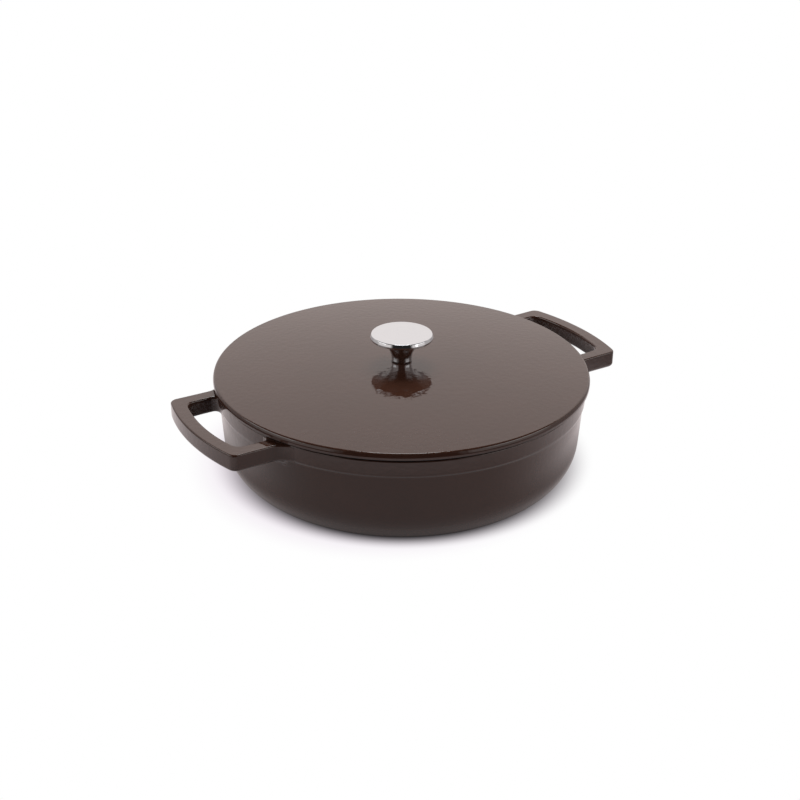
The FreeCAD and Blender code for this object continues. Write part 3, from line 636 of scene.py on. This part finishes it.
# The black begins at the edge's foot. It is the underside's own black, and it also paints shade into the gap above the
# rim.
black_corners = [(SEAT, LIP_FOOT, SEAT_CORNER), (SEAT, RIM_TOP, SEAT_ROUND), (RING_OUTER, RIM_TOP, RING_ROOT),
                 (RING_OUTER, RING_FOOT, RING_ROUND), (RING_INNER, RING_FOOT, RING_ROUND),
                 (RING_INNER, ring_ceiling, RING_CORNER), *lid_under,
                 (LID_HOLE, LID_UNDER, HOLE_FOOT_ROUND), (LID_HOLE, HOLE_MIDDLE, 0)]
lid = turn("lid", rounded(brown_corners + black_corners), LID_STEPS, brown_enamel, black_enamel,
           len(rounded(brown_corners)))
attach(lid, "lid")
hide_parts("lid")

# %% [markdown]
# ## The knob
# The knob is turned from one steel bar: a flat disc on a slim stem that flares out under it like a trumpet. The disc's
# edge leans in towards its top. The bore for the screw comes up from below, and a thin skirt around the stem's foot
# hides most of the rubber washer's edge.

# %% Knob
DISC_EDGE, DISC_OVER, DISC_LEAN, DISC_UNDERCUT = 3.8, 0.3, 1.0, 0.2
DISC_MIDDLE = KNOB_TOP - 2.4
DISC_TOP_ROUND, DISC_SIDE_ROUND, DISC_FOOT_ROUND = 0.8, 1.5, 0.4
FLARE_DROP, FLARE = 3.3, 17.5
STEM, SKIRT, SKIRT_INNER = 8.25, 0.35, 8.05
BORE, BORE_DEPTH = 3.05, 11.0
KNOB_STEPS, KNOB_ROUND_STEPS = 192, 14
disc_foot, disc_side = KNOB_TOP - DISC_EDGE, KNOB_RADIUS + DISC_OVER
skirt_foot, bore_top = KNOB_FOOT - SKIRT, KNOB_FOOT + BORE_DEPTH
knob_corners = [(0, KNOB_TOP, 0), (disc_side - DISC_LEAN, KNOB_TOP, DISC_TOP_ROUND),
                (disc_side, DISC_MIDDLE, DISC_SIDE_ROUND), (disc_side - DISC_UNDERCUT, disc_foot, DISC_FOOT_ROUND),
                (STEM, disc_foot - FLARE_DROP, FLARE), (STEM, skirt_foot, 0), (SKIRT_INNER, skirt_foot, 0),
                (SKIRT_INNER, KNOB_FOOT, 0), (BORE, KNOB_FOOT, 0), (BORE, bore_top, 0), (0, bore_top, 0)]
knob = turn("knob", rounded(knob_corners, KNOB_ROUND_STEPS), KNOB_STEPS, polished_steel)
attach(knob, "lid")
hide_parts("knob")

# %% [markdown]
# ## The pot
# The pot's wall is turned as well: a flat base, a wide rounding, a wall that leans out a little, a soft step and an
# upright rim band. Most of the rim's top is black, like the inside.

# %% Wall of the pot
BAND, BAND_FOOT = 147.4, RIM_TOP - 11.7
WALL_TOP, WALL_FOOT = 146.1, 141.8
STEP_FOOT = BAND_FOOT - 2.2
INNER_TOP, INNER_FOOT, FLOOR_TOP = 143.1, 138.1, 4.5
RIM_MIDDLE = 146.3
BASE_ROUND, STEP_ROUND, RIM_ROUND, FLOOR_ROUND = 34, 4, 1.0, 30
POT_STEPS, POT_ROUND_STEPS = 288, 16
pot_outside = rounded([(0, 0, 0), (WALL_FOOT, 0, BASE_ROUND), (WALL_TOP, STEP_FOOT, STEP_ROUND),
                       (BAND, BAND_FOOT, STEP_ROUND), (BAND, RIM_TOP, RIM_ROUND), (RIM_MIDDLE, RIM_TOP, 0)],
                      POT_ROUND_STEPS)
pot_inside = rounded([(RIM_MIDDLE, RIM_TOP, 0), (INNER_TOP, RIM_TOP, RIM_ROUND),
                      (INNER_FOOT, FLOOR_TOP, FLOOR_ROUND), (0, FLOOR_TOP, 0)], POT_ROUND_STEPS)[1:]
pot = turn("pot", pot_outside + pot_inside, POT_STEPS, brown_enamel, black_enamel, len(pot_outside) - 1)

# %% [markdown]
# A handle is a flat bar bent into a loop, and it rises a little towards its bar. Seen from above it has an inner and an
# outer edge, and both are made of straight runs and arcs that follow the pot's round. At each stop along the loop a
# section with rounded corners stands between the two edges. Near the pot the section swells along a quarter circle,
# sideways and downwards, and lies down on the wall's own outline, so that the handle grows out of the wall without a
# seam, as a casting does. Its end is buried in the wall.

# %% The handle's edges from above
BAR_INNER = BAR_OUTER - 11.5
LEG_INNER, LEG_OUTER = 43.0, 54.8
HOLE_CORNER, OUTER_CORNER = 9.0, 6.0
HANDLE_TOP, HANDLE_FOOT, HANDLE_LIFT = RIM_TOP, RIM_TOP - 13.6, 0.4
ROOT_INNER, ROOT_OUTER, ROOT_UNDER = 8.0, 9.0, 6.0
LEG_STOPS, CORNER_STOPS, BAR_STOPS = 6, 12, 20


def wall_x(y, z):
    """Where the pot's outer wall is, along X, at a distance to the side and a height."""
    for low, high in zip(pot_outside, pot_outside[1:]):
        if low.y <= z <= high.y and high.y > low.y:
            radius = low.x + (high.x - low.x) * (z - low.y) / (high.y - low.y)
            return math.sqrt(radius ** 2 - y ** 2)
    return math.sqrt(pot_outside[-2].x ** 2 - y ** 2)


def loop_edge(leg, bar, corner):
    """One edge of the handle from above: the first leg, a corner, and the bar to its middle."""
    side = leg - corner
    bend = Vector((math.sqrt((bar - corner) ** 2 - side ** 2), -side))
    heading = math.atan2(bend.y, bend.x)
    root = Vector((wall_x(leg, HANDLE_TOP) + ROOT_OUTER, -leg))
    points = [root.lerp(Vector((bend.x, -leg)), step / LEG_STOPS) for step in range(1, LEG_STOPS)]
    for step in range(CORNER_STOPS + 1):
        angle = -math.pi / 2 + (heading + math.pi / 2) * step / CORNER_STOPS
        points.append(bend + Vector((math.cos(angle), math.sin(angle))) * corner)
    for step in range(1, BAR_STOPS + 1):
        angle = heading * (1 - step / BAR_STOPS)
        points.append(Vector((math.cos(angle), math.sin(angle))) * bar)
    return points


inner_edge = loop_edge(LEG_INNER, BAR_INNER, HOLE_CORNER)
outer_edge = loop_edge(LEG_OUTER, BAR_OUTER, OUTER_CORNER)
print("stops along half a handle:", len(inner_edge))

# %% Sections of a handle
UNDER_ROUND, OUTER_ROUND, INNER_ROUND = 2.6, 1.4, 1.8
SECTION_STEPS = 8  # in each corner's quarter circle


def section(width):
    """Points of a rounded section, as (across, height, lean across, lean up)."""
    points = []
    for across, height, radius, start in ((0, HANDLE_FOOT, UNDER_ROUND, 180), (width, HANDLE_FOOT, UNDER_ROUND, 270),
                                          (width, HANDLE_TOP, OUTER_ROUND, 0), (0, HANDLE_TOP, INNER_ROUND, 90)):
        middle = (across + (radius if across == 0 else -radius), height + (radius if start >= 180 else -radius))
        for step in range(-1, SECTION_STEPS + 2):
            turned = min(SECTION_STEPS, max(0, step))
            angle = math.radians(start + 90 / SECTION_STEPS * turned)
            lean = (math.cos(angle), math.sin(angle))
            past = GUARD * (step - turned)
            points.append((middle[0] + radius * lean[0] - past * lean[1],
                           middle[1] + radius * lean[1] + past * lean[0], *lean))
    return points


def swell(away, radius):
    """How far a root's quarter circle stands out at a distance from the wall."""
    rest = max(0.0, radius - max(0.0, away))
    return radius - math.sqrt(radius ** 2 - rest ** 2)


print("points around a section:", len(section(LEG_OUTER - LEG_INNER)))

# %% Rings of points along half a handle
BURIED, BURIED_DROP = 1.0, 0.6
ROOT_STOPS = 18


def root_ring(away):
    """The section's points at a distance from the wall. A ring inside the wall lies a little lower."""
    drop = BURIED_DROP if away < 0 else 0.0
    ring = []
    for across, z, lean, up in section(LEG_OUTER - LEG_INNER):
        across += lean * swell(away, ROOT_OUTER if lean > 0 else ROOT_INNER)
        z += min(0.0, up) * swell(away, ROOT_UNDER)
        y = LEG_INNER + across
        ring.append(Vector((wall_x(y, z) + away, -y, z - drop)))
    return ring


def loop_ring(inner, outer):
    """The section's points between the handle's two edges."""
    along = (outer - inner).normalized()
    spots = [(inner + along * across, z) for across, z, _, _ in section((outer - inner).length)]
    return [Vector((spot.x, spot.y, z)) for spot, z in spots]


def lifted(spot):
    """A point of the handle raised with its distance from the rim band."""
    share = (math.hypot(spot.x, spot.y) - BAND) / (BAR_OUTER - BAND)
    return Vector((spot.x, spot.y, spot.z + HANDLE_LIFT * max(0.0, share)))


half = [root_ring(-BURIED)]
half += [root_ring(ROOT_OUTER * (1 - math.cos(math.radians(90 * step / ROOT_STOPS))))
         for step in range(ROOT_STOPS + 1)]
half += [loop_ring(inner, outer) for inner, outer in zip(inner_edge, outer_edge)]
half = [[lifted(spot) for spot in ring] for ring in half]
print("rings along half a handle:", len(half))

# %% Both handles
def build_handle(solid, side, finish):
    """Add one handle to a mesh, on the pot's +X side (1) or its -X side (-1)."""
    whole = half + [[Vector((spot.x, -spot.y, spot.z)) for spot in ring] for ring in half[-2::-1]]
    rings = [[solid.verts.new((spot.x * side * MM, spot.y * side * MM, spot.z * MM)) for spot in ring]
             for ring in whole]
    faces = [solid.faces.new(rings[0]), solid.faces.new(rings[-1])]
    for ring, following in zip(rings, rings[1:]):
        for index in range(len(ring)):
            after = (index + 1) % len(ring)
            faces.append(solid.faces.new((ring[index], ring[after], following[after], following[index])))
    for face in faces:
        face.smooth = True
        face.material_index = finish


solid = bmesh.new()
outside_slot = pot.data.materials.find(brown_enamel.name)
for side in (1, -1):
    build_handle(solid, side, outside_slot)
bmesh.ops.recalc_face_normals(solid, faces=solid.faces)
print("handles:", len(solid.faces), "faces,", round(solid.calc_volume(signed=True) / CUBIC_CM, 1), "cubic cm")
solid.from_mesh(pot.data)
solid.to_mesh(pot.data)
solid.free()
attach(pot, "pot")
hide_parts("pot")

# %% [markdown]
# ## The small fixings
# The washers and the screw already have their final shape in the CAD model, so they only get their finish.

# %% Small fixings
for name, finish in (("seat_washer", black_rubber), ("flat_washer", plain_steel), ("lock_washer", plain_steel),
                     ("knob_screw", plain_steel)):
    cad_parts[name].material_slots[0].material = finish
    print(name, "is", finish.name)
